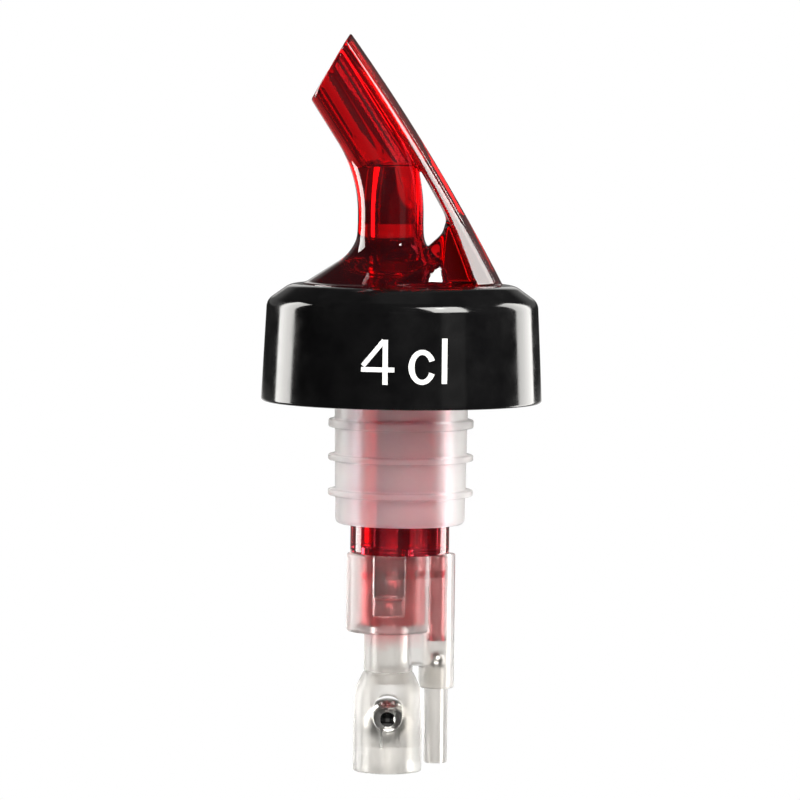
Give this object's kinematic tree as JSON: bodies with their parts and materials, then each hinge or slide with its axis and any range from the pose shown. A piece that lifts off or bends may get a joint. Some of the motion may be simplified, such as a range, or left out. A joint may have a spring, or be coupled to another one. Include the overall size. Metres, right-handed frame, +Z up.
{
  "type": "measured liquor pourer",
  "caption": "Measured bottle pourer with a leaning spout over a wide collar, a finned neck plug, and below it a ball valve and metering cup that end the pour after one measure.",
  "frame": {"origin": "on the neck plug's axis at the upper face of the top sealing fin", "axes": "+Z up along the plug's axis towards the spout, -X the way the spout leans and pours, +X the side of the vent"},
  "size_m": [0.042, 0.042, 0.1104],
  "materials": {
    "red_plastic": "clear red, polished",
    "black_plastic": "gloss black",
    "soft_plug": "soft, milky translucent",
    "frosted_plastic": "frosted translucent",
    "steel": "polished ball"
  },
  "bodies": {
    "pourer": {"spout_head": "red_plastic", "stem": "red_plastic", "collar": "black_plastic", "stopper": "soft_plug", "valve_body": "frosted_plastic", "metering_cup": "frosted_plastic", "cup_plug": "frosted_plastic", "vent_tube": "frosted_plastic"},
    "flow_ball": {"flow_ball": "steel"},
    "metering_ball": {"metering_ball": "steel"},
    "vent_ball": {"vent_ball": "steel"}
  },
  "joints": [
    {"name": "flow_ball_slide", "type": "slide", "parent": "pourer", "child": "flow_ball", "axis": [0, 0, 1], "range_m": [0, 0.00294]},
    {"name": "metering_ball_slide", "type": "slide", "parent": "pourer", "child": "metering_ball", "axis": [0, 0, 1], "range_m": [0, 0.00336]},
    {"name": "vent_ball_slide", "type": "slide", "parent": "pourer", "child": "vent_ball", "axis": [0, 0, 1], "range_m": [0, 0.00197]}
  ]
}
